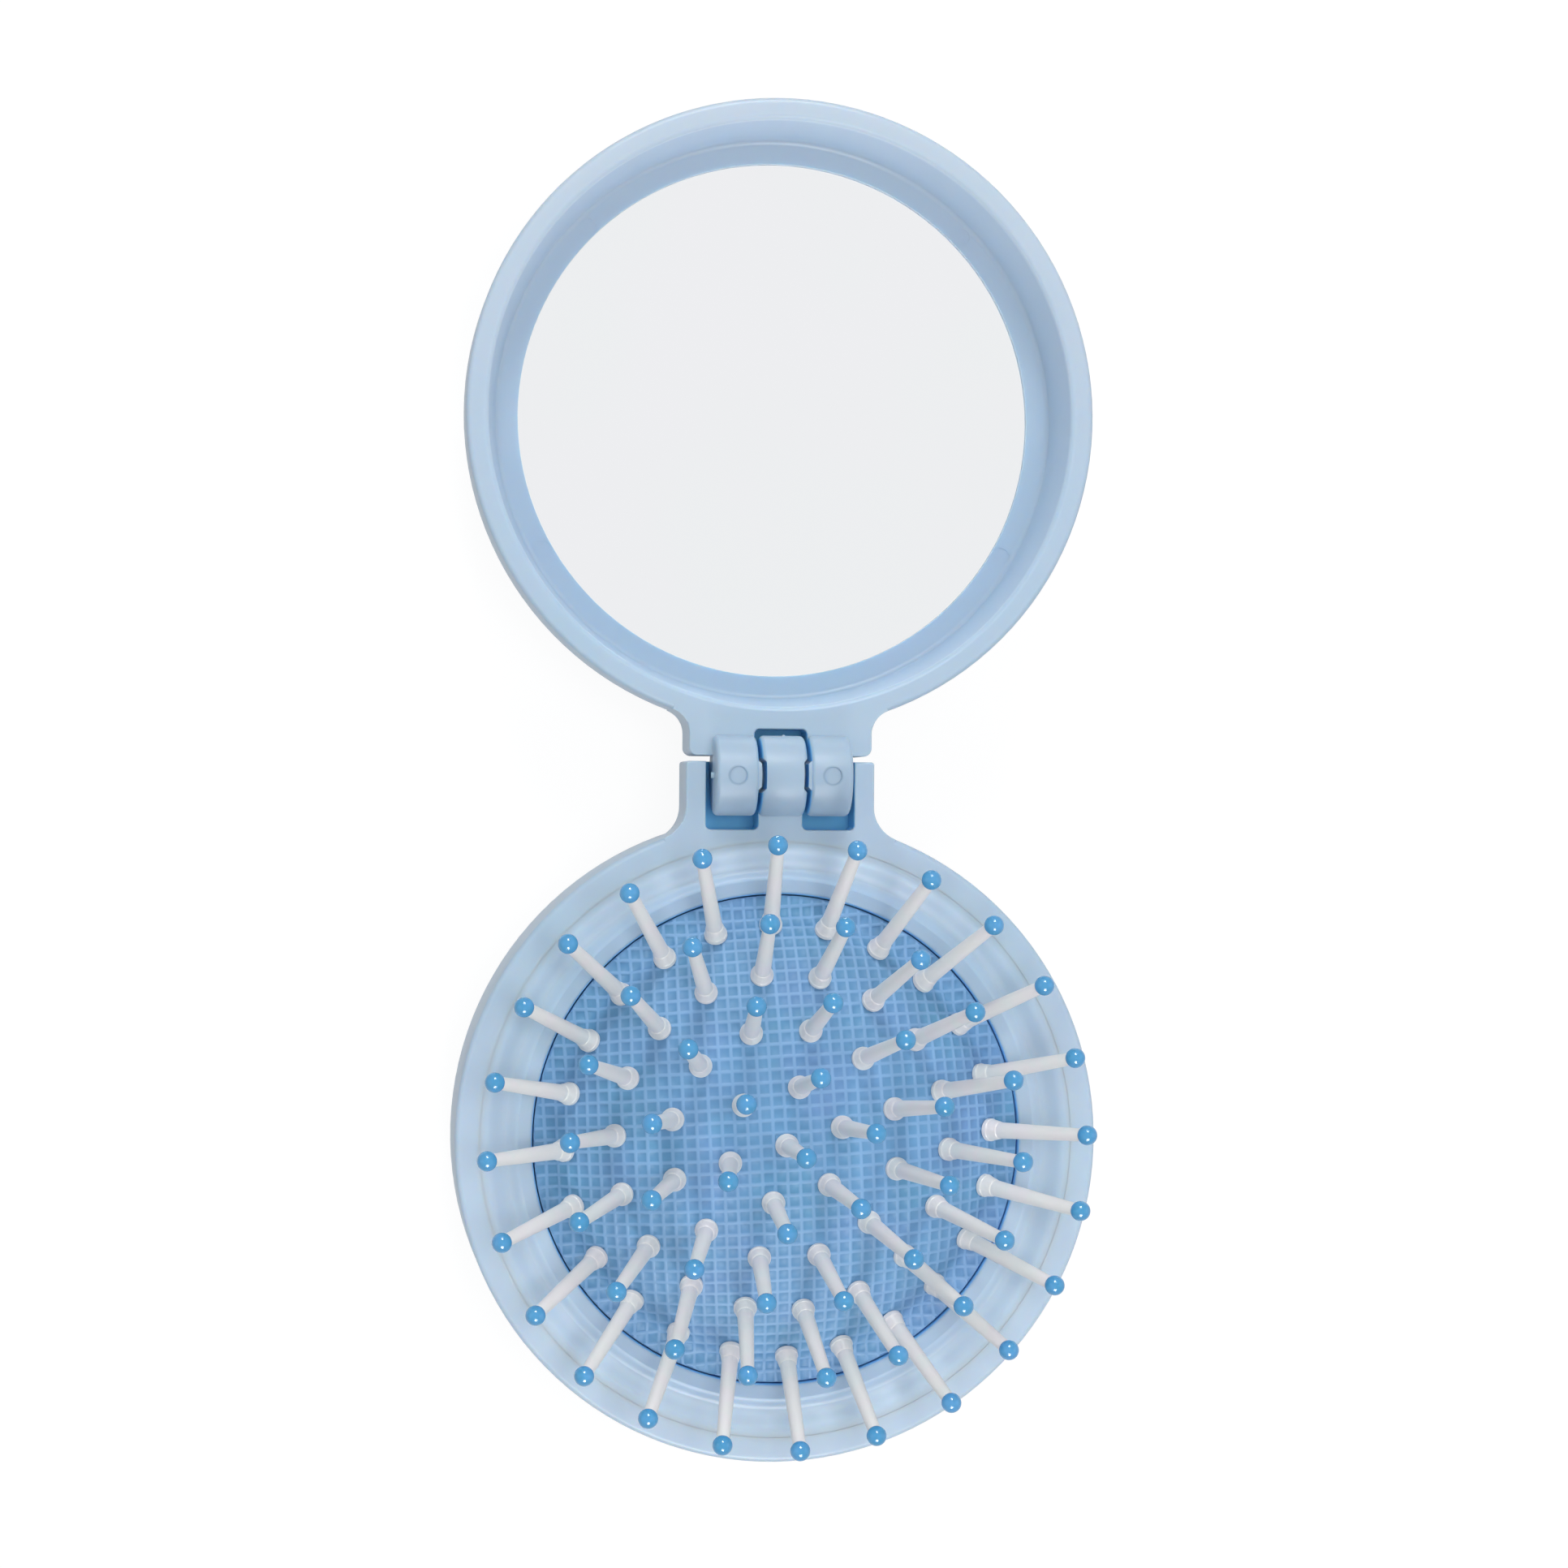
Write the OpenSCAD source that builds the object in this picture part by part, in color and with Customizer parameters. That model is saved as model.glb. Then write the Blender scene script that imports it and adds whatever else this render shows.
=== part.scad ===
// Folding hairbrush with mirror: a round compact in two halves on a snap hinge.
// The base holds a pop-up tray with a domed rubber cushion and its bristles, and the lid a round mirror.
// Drawn flat open, brush up: X across, Y from the base to the lid, Z up. The hinge axis lies over Y = 0.

/* [Shells] */
// Outer radius of the base
shell_r = 33.8; // [28:0.1:45]
// How much smaller the lid's radius is
lid_inset = 0.6; // [0:0.1:0.8]
// Depth of the base, from its back to its rim
base_depth = 15; // [14:0.5:20]
// Depth of the lid, from its back to its rim
lid_depth = 11.5; // [10.5:0.5:16]
// Width of the rim band round the base
rim_w = 2.6; // [2.2:0.1:3.2]
// Width of the rim band round the lid
lid_rim_w = 2.3; // [2:0.1:3]
// Gap between the two rims when the lid is closed
rim_gap = 0.3; // [0.2:0.05:0.6]
// Thickness of the flat back walls
back_t = 1.5; // [1.2:0.1:2.5]
// Rounding of the base's back edge
base_round = 4; // [2:0.5:5]
// Rounding of the lid's back edge
lid_round = 6; // [3:0.5:7]
// Rounding of the outer rim edges
rim_round = 0.6; // [0.3:0.1:1]

/* [Bezel] */
// Width of the bezel ring's face, from its seat to the opening that the cushion rises through
bezel_face_w = 5.45; // [4:0.05:8]
// Height of the bezel ring, from its seat to the base's rim
bezel_h = 2.2; // [2:0.1:3]
// Gap round the bezel ring in its seat
bezel_seam = 0.05; // [0.05:0.01:0.2]
// Depth of the hollow that runs round the bezel
valley_depth = 1.1; // [0.4:0.1:1.3]
// How far the bezel's inner lip lies below the rim
lip_drop = 0.5; // [0.2:0.1:0.8]
// Width of the inner lip, from the opening to where the hollow begins
lip_w = 1.5; // [1:0.1:2]
// How much lower the lip lies at the opening
lip_fall = 0.2; // [0.1:0.05:0.4]
// Rounding of the lip's edge at the opening
lip_round = 0.5; // [0.2:0.1:0.8]
// Bevel of the bezel's outer edge
bezel_bevel = 0.25; // [0.1:0.05:0.4]
// How far the bezel's outer edge lies below the rim
bezel_sink = 0.05; // [0:0.01:0.2]

/* [Pop-up tray] */
// Width of the ledge under the bezel, which leaves the narrower bore that the tray slides in
ledge_w = 0.8; // [0.5:0.1:1.2]
// Running gap round the tray
slide_gap = 0.3; // [0.2:0.05:0.4]
// Thickness of the tray's rim
tray_t = 1.5; // [1.2:0.1:2]
// Depth of the recess in the tray's floor, which clears the bristles' heads
tray_recess = 0.6; // [0.5:0.1:0.8]
// Thickness of the clamp ring
clamp_t = 0.7; // [0.5:0.1:1]
// Gap between the popped-up clamp ring and the bezel
clamp_gap = 0.3; // [0.2:0.05:0.5]
// Width of the clamp ring's skirt
clamp_skirt_w = 1.1; // [1:0.1:1.5]
// Radial gap round the clamp ring and round the cushion's flange
clamp_fit = 0.1; // [0.05:0.01:0.2]
// Radial gap between the foot of the dome and the clamp ring
clamp_relief = 0.7; // [0.4:0.1:1]
// Number of pegs on the clamp ring
clamp_pegs = 6; // [3:1:12]
// Radius of the pegs
peg_r = 0.4; // [0.3:0.05:0.45]
// Radial clearance of the pegs and of the button's stud
peg_fit = 0.05; // [0.02:0.01:0.1]
// Thickness of the thin wall round the tray's seat
tray_wall = 0.4; // [0.4:0.1:0.8]
// Thickness of the push button's disc
button_t = 1.8; // [1.2:0.1:2.5]
// Radius of the finger opening in the base's back
finger_r = 22; // [16:0.5:25]
// Depth of the finger dish in the button
button_dish = 0.6; // [0.2:0.1:0.9]
// Width of the flat rim round the finger dish
button_rim_w = 1.2; // [0.8:0.1:3]
// Chamfer of the button's edge
button_chamfer = 0.4; // [0.2:0.1:0.8]
// Radius of the snap stud that holds the button on the tray
stud_r = 2.5; // [2:0.1:4]
// Height of the snap stud's head
stud_head_h = 1; // [0.6:0.1:1.3]
// How far the snap stud's head reaches past the stud
stud_lip = 0.6; // [0.3:0.1:1]
// Chamfer of the finger opening
finger_chamfer = 0.6; // [0.2:0.1:1]

/* [Cushion] */
// Thickness of the rubber cushion
cushion_t = 0.8; // [0.6:0.1:1.1]
// Height of the popped-up dome above the face it is clamped under
cushion_rise = 10.1; // [8:0.1:11]
// Radial gap between the bezel's opening and the foot of the dome
cushion_gap = 0.5; // [0.3:0.1:1]
// How far past the dome's foot the half ellipse of its profile would reach
dome_shoulder = 1.2; // [0.8:0.1:5]

/* [Bristles] */
// Distance in from the dome's foot to the outer ring of bristles, seen from above
outer_ring_margin = 2.9; // [2.5:0.1:4]
// Turn of the pattern about the cushion's centre
pattern_turn = 17.5; // [0:0.5:60]
// Length from the cushion to the middle of the ball
bristle_l = 13.3; // [8:0.1:14]
// How far a bristle may lean off its own direction, each way
bristle_lean = 1.1; // [0:0.1:1.1]
// Gap between the foot and the cushion, which leaves room for the lean
foot_gap = 0.02; // [0.02:0.01:0.05]
// Radius of the shaft at its foot
shaft_foot_r = 0.86; // [0.7:0.02:1]
// Radius of the shaft at its ball
shaft_end_r = 0.66; // [0.5:0.02:0.7]
// Radius of the foot that sits on the cushion
foot_r = 1.2; // [1.05:0.05:1.5]
// Height of the foot's straight side
foot_h = 0.55; // [0.3:0.05:1]
// Radius of the ball tip
ball_r = 1.03; // [0.9:0.01:1.2]
// Radius of the stem that passes through the cushion
stem_r = 0.75; // [0.5:0.05:0.8]
// Radial gap between the stem and its hole
stem_gap = 0.1; // [0.05:0.01:0.15]
// Radius of the head under the cushion
head_r = 1.3; // [1.1:0.05:1.5]
// Thickness of the head under the cushion
head_t = 0.5; // [0.4:0.05:0.6]
// Play of the head under the cushion
head_gap = 0.08; // [0.08:0.01:0.1]
// Height of the shoulder from the foot's straight side to the shaft
shoulder_h = 1.2; // [0.8:0.1:2]

/* [Mirror] */
// Width of the flat flange round the mirror
flange_w = 2.5; // [2:0.1:8]
// Thickness of the mirror glass
mirror_t = 1.6; // [1:0.1:3]
// Gap round the mirror in its pocket
mirror_gap = 0.1; // [0.1:0.05:0.4]
// How far the flange stands above the mirror's face
flange_step = 0.4; // [0.1:0.1:0.8]
// Thickness of the adhesive pad behind the mirror
adhesive_t = 0.4; // [0.2:0.1:0.8]
// Draft of the lid's inner wall, from its rim to the flange
lid_draft = 1; // [0.6:0.1:2]
// Rounding where the lid's inner wall meets the flange
wall_round = 0.6; // [0.3:0.1:1]
// Chamfer of the lid's mouth, where its inner wall meets the rim band
mouth_chamfer = 0.3; // [0.1:0.1:0.5]
// Bevel of the mirror's edge
mirror_bevel = 0.25; // [0.1:0.05:0.5]
// How far the adhesive pad stays inside the mirror's edge
adhesive_margin = 2; // [1:0.5:6]

/* [Hinge] */
// Radius of the knuckles
knuckle_r = 4.2; // [3.5:0.1:5]
// Width of the base's middle knuckle
middle_w = 4.7; // [4:0.1:6]
// Width of each of the lid's outer knuckles
outer_w = 4.4; // [3.6:0.1:5]
// Side gap between the middle and the outer knuckles
knuckle_gap = 0.4; // [0.3:0.05:0.6]
// Side gap between the outer knuckles and the base's ears
ear_gap = 0.7; // [0.4:0.1:1]
// Width of the base's ears
ear_w = 2.1; // [1.8:0.1:3]
// Thickness of both lugs under the knuckles' slots
lug_floor_t = 2.7; // [2:0.1:3.5]
// Wall left between the base's slots and the seat of its bezel
slot_wall = 1.25; // [1:0.05:4]
// How far the base's lug reaches past the hinge axis
base_lug_reach = 1.5; // [0.8:0.1:2]
// Gap between the edges of the two lugs
lug_gap = 0.6; // [0.4:0.1:1]
// How much wider the lid's lug is, on each side, than its outer knuckles
lid_lug_margin = 2.5; // [2:0.05:4]
// Radius of the fillets between the base's lug and its round wall
base_fillet = 3.6; // [2:0.1:5]
// Radius of the fillets between the lid's lug and its round wall
lid_fillet = 2.6; // [2:0.1:5]
// Room round the knuckles in their slots
slot_room = 0.45; // [0.3:0.05:0.8]
// How much further the base's slots run behind the outer knuckles
slot_tail = 1; // [0:0.1:1.2]
// How much further the lid's notch runs behind the middle knuckle
notch_tail = 0.25; // [0:0.05:0.6]
// Radius of the trunnions that the lid turns on
trunnion_r = 1.25; // [1:0.05:1.6]
// Depth that the trunnions enter the middle knuckle
trunnion_depth = 0.5; // [0.4:0.05:0.8]
// Radial clearance of the trunnions
trunnion_fit = 0.05; // [0.02:0.01:0.1]
// Depth of the lead-in groove that stops the hinge at its open position
detent_depth = 0.4; // [0.2:0.05:0.45]
// Height of the detent ribs on the outer knuckles
detent_rib_h = 0.3; // [0.1:0.05:0.3]
// Half width of the detent ribs at their top
detent_half_w = 1.2; // [1:0.05:1.4]
// Rounding of the knuckles' edges
knuckle_round = 0.5; // [0.2:0.1:0.8]
// Rounding of the corners at the closed end of the slots
slot_corner_r = 0.5; // [0.2:0.1:0.8]
// Rounding of the lid lug's corners
lug_corner_r = 0.85; // [0.4:0.05:1.5]
// Rounding of the corners of the base's ears
ear_corner_r = 0.3; // [0.2:0.1:0.8]

/* [Moulding marks] */
// Radius of the round marks that the ejector pins leave
ejector_r = 0.95; // [0.6:0.05:1.1]
// Depth of the ejector marks
ejector_depth = 0.06; // [0.02:0.01:0.1]
// Radius of the gate's stub on the left outer knuckle
gate_r = 0.3; // [0.2:0.05:0.4]
// Length of the gate's stub
gate_l = 0.35; // [0.1:0.05:0.4]
// Radius of the flash nib on the middle knuckle
nib_r = 0.2; // [0.1:0.05:0.25]

/* [Hidden] */
$fn = 96;
small_fn = 32;
cut = 1;                    // how far a cutting shape overshoots a face
join = 0.5;                 // how far a shape runs into the one it is fused with
bite = 0.01;                // how far a fillet runs into the round wall that it meets

// The bristles stand in rings round one centre bristle, with six more in each ring than in the last.
// A group of neighbours moves as one piece when the cushion flattens.
ring_groups = [3, 6, 6, 8];
rings = len(ring_groups);
ejector_turns = [45, 135, 210, 330];

rim_z = base_depth;
bore_r = shell_r - rim_w;
lid_r = shell_r - lid_inset;
lid_bore_r = lid_r - lid_rim_w;
slot_r = knuckle_r + slot_room;
slot_end = slot_r + slot_tail;
hinge_z = rim_z + rim_gap / 2;
hinge_reach = bore_r + slot_wall + slot_end;
base_centre = [0, -hinge_reach];
lid_centre = [0, hinge_reach];

guide_r = bore_r - ledge_w;
ledge_z = rim_z - bezel_h;
bezel_r = bore_r - bezel_seam;
opening_r = bezel_r - bezel_face_w;
lip_r = opening_r + lip_w;
lip_z = rim_z - lip_drop;
valley_r = (opening_r + bezel_r) / 2;
valley_z = rim_z - valley_depth;

clamp_z = ledge_z - clamp_gap - clamp_t;
seat_z = clamp_z - cushion_t;
tray_z = seat_z - tray_t;
tray_r = guide_r - slide_gap;
clamp_r = tray_r - tray_wall - clamp_fit;
flange_r = clamp_r - clamp_skirt_w - clamp_fit;
peg_ring_r = clamp_r - clamp_skirt_w / 2;
floor_z = seat_z - tray_recess;

button_z = tray_z - button_t;
button_r = finger_r - slide_gap;
dish_r = button_r - button_rim_w;
dish_sphere_r = (dish_r ^ 2 + button_dish ^ 2) / (2 * button_dish);

dome_r = opening_r - cushion_gap;
// The dome's profile is part of an ellipse: dome_a is its half width, dome_c its half height
dome_a = dome_r + dome_shoulder;
dome_c = cushion_rise / (1 - sqrt(1 - (dome_r / dome_a) ^ 2));
dome_centre_z = clamp_z + cushion_rise - dome_c;
clamp_inner_r = dome_r + clamp_relief;
outer_ring_r = dome_r - outer_ring_margin;
outer_tilt = dome_tilt(outer_ring_r);

lid_back_z = rim_z - lid_depth;
pocket_z = lid_back_z + back_t;
mirror_z = pocket_z + adhesive_t;
flange_z = mirror_z + mirror_t + flange_step;
wall_foot_r = lid_bore_r - lid_draft;
pocket_r = wall_foot_r - flange_w;
mirror_r = pocket_r - mirror_gap;

middle_half = middle_w / 2;
outer_near = middle_half + knuckle_gap;
outer_far = outer_near + outer_w;
slot_far = outer_far + ear_gap;
base_lug_half_w = slot_far + ear_w;
lid_lug_half_w = outer_far + lid_lug_margin;
lid_lug_edge = base_lug_reach + lug_gap;
lug_t = slot_r - rim_gap / 2 + lug_floor_t;

shaft_top_z = bristle_l - ball_r / 3;

// A quarter or other arc as points, anticlockwise from one angle to another
function arc(cx, cy, r, from, to, steps = 12) =
    [for (i = [0:steps]) let (a = from + (to - from) * i / steps) [cx + r * cos(a), cy + r * sin(a)]];

// Points of a cosine slope from one radius and height to the next, without its last point
function slope(r0, z0, r1, z1, steps = 8) =
    [for (i = [0:steps - 1]) [r0 + (r1 - r0) * i / steps, z0 + (z1 - z0) * (1 - cos(180 * i / steps)) / 2]];

// Height of the dome at a radius, and how far its face leans outwards there
function dome_z(r) = dome_centre_z + dome_c * sqrt(1 - (r / dome_a) ^ 2);
function dome_tilt(r) = atan(dome_c * r / (dome_a ^ 2 * sqrt(1 - (r / dome_a) ^ 2)));

// The rings stand a little closer together the further out they are
function ring_r(ring) = outer_ring_r * sin(outer_tilt * ring / rings) / sin(outer_tilt);

function ring_count(ring) = ring == 0 ? 1 : 6 * ring;
function group_size(ring) = ring == 0 ? 1 : ring_count(ring) / ring_groups[ring - 1];
function group_count(ring) = ring == 0 ? 1 : ring_groups[ring - 1];
function bristle_turn(ring, i) = pattern_turn + 360 * i / ring_count(ring);

// Each bristle leans a little its own way, by chance
function lean(ring, i) = concat(rands(-bristle_lean, bristle_lean, 2, 100 * ring + i), 0);

function group_name(ring, kind, g) = str("ring", ring, "_", kind, "_", g);
function group_names(kind) = [for (ring = [0:rings], g = [1:group_count(ring)]) group_name(ring, kind, g)];

module at_base() translate(base_centre) children();
module at_lid() translate(lid_centre) children();

// A round box standing on z = 0, with rounded back and rim edges
module round_box(r, h, back_round) {
    rotate_extrude()
        polygon(concat(
            [[0, 0]],
            arc(r - back_round, back_round, back_round, -90, 0),
            arc(r - rim_round, h - rim_round, rim_round, 0, 90, 6),
            [[0, h]]
        ));
}

// Outline of a lug that grows out of a round wall of radius wall_r, centred reach below Y = 0, up to Y = edge
module lug_outline(wall_r, half_w, reach, edge, fillet, corner_r) {
    fillet_x = half_w + fillet;
    fillet_y = sqrt((wall_r + fillet - bite) ^ 2 - fillet_x ^ 2) - reach;
    share = (wall_r - join) / (wall_r + fillet - bite);
    wall_x = fillet_x * share;
    wall_y = (fillet_y + reach) * share - reach;
    difference() {
        polygon([
            [0, -reach / 2], [wall_x, wall_y], [fillet_x, fillet_y], [half_w, fillet_y],
            [half_w, edge - corner_r], [half_w - corner_r, edge],
            [corner_r - half_w, edge], [-half_w, edge - corner_r],
            [-half_w, fillet_y], [-fillet_x, fillet_y], [-wall_x, wall_y]
        ]);
        for (side = [-1, 1])
            translate([side * fillet_x, fillet_y]) circle(fillet);
    }
    for (side = [-1, 1])
        translate([side * (half_w - corner_r), edge - corner_r]) circle(corner_r);
}

module lug(wall_r, half_w, edge, fillet, corner_r) {
    translate([0, 0, rim_z - lug_t])
        linear_extrude(lug_t) lug_outline(wall_r, half_w, hinge_reach, edge, fillet, corner_r);
}

// A knuckle across X, from x0 to x1, about the hinge axis, with rounded edges
module knuckle(x0, x1) {
    translate([x0, 0, hinge_z]) rotate([0, 90, 0])
        rotate_extrude()
            polygon(concat(
                [[0, 0]],
                arc(knuckle_r - knuckle_round, knuckle_round, knuckle_round, -90, 0, 5),
                arc(knuckle_r - knuckle_round, x1 - x0 - knuckle_round, knuckle_round, 0, 90, 5),
                [[0, x1 - x0]]
            ));
}

// A slot for a knuckle, open upwards and past Y = open_y, with rounded corners at its closed end
module knuckle_slot(x0, x1, closed_y, open_y) {
    y_sign = sign(open_y - closed_y);
    corner_y = closed_y + y_sign * slot_corner_r;
    translate([0, 0, hinge_z - slot_r])
        linear_extrude(slot_r + cut) {
            polygon([
                [x0, corner_y], [x0, open_y], [x1, open_y], [x1, corner_y],
                [x1 - slot_corner_r, closed_y], [x0 + slot_corner_r, closed_y]
            ]);
            for (x = [x0 + slot_corner_r, x1 - slot_corner_r])
                translate([x, corner_y]) circle(slot_corner_r, $fn = small_fn);
        }
}

// Plan of a detent groove or rib: its root on x = 0, tapering over its height towards +X
module detent_outline(half_w, height) {
    polygon([
        [-join, -half_w - height], [0, -half_w - height], [height, -half_w],
        [height, half_w], [0, half_w + height], [-join, half_w + height]
    ]);
}

// What is cut from both sides of the middle knuckle: the trunnions' seats and the lead-in grooves above them
module middle_knuckle_cuts() {
    groove_half_w = detent_half_w + knuckle_gap / 2;
    seat_end_gap = 0.1;
    for (side = [0, 1]) mirror([side, 0, 0]) {
        translate([middle_half, 0, hinge_z])
            linear_extrude(knuckle_r + cut) mirror([1, 0, 0]) detent_outline(groove_half_w, detent_depth);
        translate([middle_half - trunnion_depth - seat_end_gap, 0, hinge_z]) rotate([0, 90, 0])
            cylinder(
                r = trunnion_r + trunnion_fit, h = trunnion_depth + seat_end_gap + knuckle_gap, $fn = small_fn
            );
    }
}

module outer_knuckle() {
    mark_z = sqrt(knuckle_r ^ 2 - ejector_r ^ 2) - ejector_depth;
    difference() {
        knuckle(outer_near, outer_far);
        translate([(outer_near + outer_far) / 2, 0, hinge_z + mark_z])
            cylinder(r = ejector_r, h = cut, $fn = small_fn);
    }
    translate([outer_near - knuckle_gap - trunnion_depth, 0, hinge_z]) rotate([0, 90, 0])
        cylinder(r = trunnion_r, h = trunnion_depth + knuckle_gap + join, $fn = small_fn);
    intersection() {
        translate([outer_near, 0, hinge_z])
            linear_extrude(knuckle_r) mirror([1, 0, 0]) detent_outline(detent_half_w, detent_rib_h);
        translate([outer_near - cut, 0, hinge_z]) rotate([0, 90, 0])
            cylinder(r = knuckle_r - knuckle_round / 2, h = 2 * cut);
    }
}

// ---- base ----

module base_shell() color([0.70, 0.80, 0.89]) {
    difference() {
        union() {
            difference() {
                union() {
                    at_base() round_box(shell_r, base_depth, base_round);
                    lug(shell_r, base_lug_half_w, base_lug_reach, base_fillet, ear_corner_r);
                }
                for (side = [0, 1]) mirror([side, 0, 0])
                    knuckle_slot(middle_half, slot_far, -slot_end, base_lug_reach + cut);
                translate([-middle_half - join, 0, hinge_z - slot_r])
                    cube([middle_w + 2 * join, base_lug_reach + cut, slot_r + cut]);
            }
            knuckle(-middle_half, middle_half);
            translate([nib_r, knuckle_r - nib_r / 2, hinge_z + 2 * nib_r]) sphere(nib_r, $fn = small_fn);
        }
        middle_knuckle_cuts();
        at_base() {
            translate([0, 0, ledge_z]) cylinder(r = bore_r, h = bezel_h + cut);
            translate([0, 0, back_t]) cylinder(r = guide_r, h = base_depth);
            translate([0, 0, -cut]) cylinder(r = finger_r, h = back_t + 2 * cut);
            cylinder(r1 = finger_r + finger_chamfer, r2 = finger_r, h = finger_chamfer);
        }
    }
}

module bezel_ring() color([0.72, 0.82, 0.90]) {
    face_z = rim_z - bezel_sink;
    at_base()
        rotate_extrude()
            polygon(concat(
                [[opening_r, ledge_z], [bezel_r, ledge_z]],
                [[bezel_r, face_z - bezel_bevel], [bezel_r - bezel_bevel, face_z]],
                slope(bezel_r - 2 * bezel_bevel, face_z, valley_r, valley_z),
                slope(valley_r, valley_z, lip_r, lip_z),
                [[lip_r, lip_z]],
                arc(opening_r + lip_round, lip_z - lip_fall - lip_round, lip_round, 90, 180, 6)
            ));
}

module bristle_tray() color([0.66, 0.77, 0.87]) {
    at_base()
        difference() {
            translate([0, 0, tray_z]) cylinder(r = tray_r, h = clamp_z + clamp_t - tray_z);
            translate([0, 0, seat_z]) cylinder(r = tray_r - tray_wall, h = base_depth);
            translate([0, 0, floor_z]) cylinder(r = dome_r, h = base_depth);
            translate([0, 0, tray_z - cut]) cylinder(r = stud_r + peg_fit, h = tray_t + 2 * cut);
            for (i = [1:clamp_pegs])
                rotate(360 * i / clamp_pegs) translate([peg_ring_r, 0, tray_z - cut])
                    cylinder(r = peg_r + peg_fit, h = tray_t + 2 * cut, $fn = small_fn);
        }
}

module cushion_clamp_ring() color([0.66, 0.77, 0.87]) {
    at_base() {
        difference() {
            translate([0, 0, seat_z]) cylinder(r = clamp_r, h = cushion_t + clamp_t);
            translate([0, 0, seat_z - cut]) cylinder(r = clamp_r - clamp_skirt_w, h = cushion_t + cut);
            translate([0, 0, seat_z]) cylinder(r = clamp_inner_r, h = base_depth);
        }
        for (i = [1:clamp_pegs])
            rotate(360 * i / clamp_pegs) translate([peg_ring_r, 0, tray_z + peg_fit])
                cylinder(r = peg_r, h = tray_t + join, $fn = small_fn);
    }
}

module push_button() color([0.70, 0.80, 0.89]) {
    at_base() {
        translate([0, 0, button_z]) rotate_extrude()
            polygon(concat(
                arc(0, button_dish - dish_sphere_r, dish_sphere_r, 90, 90 - asin(dish_r / dish_sphere_r)),
                [[button_r - button_chamfer, 0], [button_r, button_chamfer]],
                [[button_r, button_t], [0, button_t]]
            ));
        translate([0, 0, tray_z - join]) cylinder(r = stud_r, h = floor_z - tray_z + join + stud_head_h);
        translate([0, 0, floor_z + peg_fit])
            cylinder(r1 = stud_r + stud_lip, r2 = stud_r - stud_lip, h = stud_head_h);
    }
}

// The space under the dome's face, smaller by shrink all round, down to z = foot_z
module dome_solid(shrink, foot_z) {
    steps = 16;
    r = dome_r - shrink;
    a = dome_a - shrink;
    c = dome_c - shrink;
    foot_t = asin(r / a);
    rotate_extrude()
        polygon(concat(
            [[0, foot_z], [r, foot_z]],
            [for (i = [steps:-1:0])
                let (t = foot_t * i / steps) [a * sin(t), dome_centre_z + c * cos(t)]]
        ));
}

module cushion() color([0.39, 0.61, 0.80]) {
    at_base()
        difference() {
            union() {
                translate([0, 0, seat_z]) cylinder(r = flange_r, h = cushion_t);
                dome_solid(0, seat_z);
            }
            dome_solid(cushion_t, seat_z - cut);
            for (ring = [0:rings], i = [1:ring_count(ring)])
                on_dome(ring, i) translate([0, 0, -cushion_t - cut])
                    cylinder(r = stem_r + stem_gap, h = cushion_t + 2 * cut, $fn = small_fn);
        }
}

// ---- bristles ----

// Places a child on the dome: its z axis points straight out at bristle i of a ring
module on_dome(ring, i) {
    rotate(bristle_turn(ring, i))
        translate([ring_r(ring), 0, dome_z(ring_r(ring))])
            rotate([0, dome_tilt(ring_r(ring)), 0]) children();
}

module bristle() {
    head_top = -cushion_t - head_gap;
    neck_z = foot_h + shoulder_h;
    foot_edge = 0.1;
    rotate_extrude($fn = small_fn)
        polygon(concat(
            [[0, head_top - head_t], [head_r, head_top - head_t]],
            [[head_r, head_top], [stem_r, head_top]],
            [[stem_r, foot_gap], [foot_r - foot_edge, foot_gap], [foot_r, foot_gap + foot_edge]],
            slope(foot_r, foot_h, shaft_foot_r, neck_z, 6),
            [[shaft_foot_r, neck_z], [shaft_end_r, shaft_top_z], [0, shaft_top_z]]
        ));
}

module tip() {
    socket_fit = 0.02;
    difference() {
        translate([0, 0, bristle_l]) sphere(ball_r, $fn = small_fn);
        translate([0, 0, shaft_top_z - 2 * ball_r])
            cylinder(r = shaft_end_r + socket_fit, h = 2 * ball_r, $fn = small_fn);
    }
}

module group_of(ring, g) {
    first = (g - 1) * group_size(ring) + 1;
    at_base()
        for (i = [first:first + group_size(ring) - 1])
            on_dome(ring, i) rotate(lean(ring, i)) children();
}

module bristles(ring, g) color([0.85, 0.84, 0.84]) group_of(ring, g) bristle();
module tips(ring, g) color([0.31, 0.63, 0.84]) group_of(ring, g) tip();

// ---- lid ----

module lid_cavity() {
    mouth_r = lid_bore_r + mouth_chamfer;
    rotate_extrude()
        polygon(concat(
            [[0, pocket_z], [pocket_r, pocket_z], [pocket_r, flange_z]],
            arc(wall_foot_r - wall_round, flange_z + wall_round, wall_round, -90, -10, 6),
            [[lid_bore_r, rim_z - mouth_chamfer], [mouth_r, rim_z], [mouth_r, rim_z + cut], [0, rim_z + cut]]
        ));
}

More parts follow.
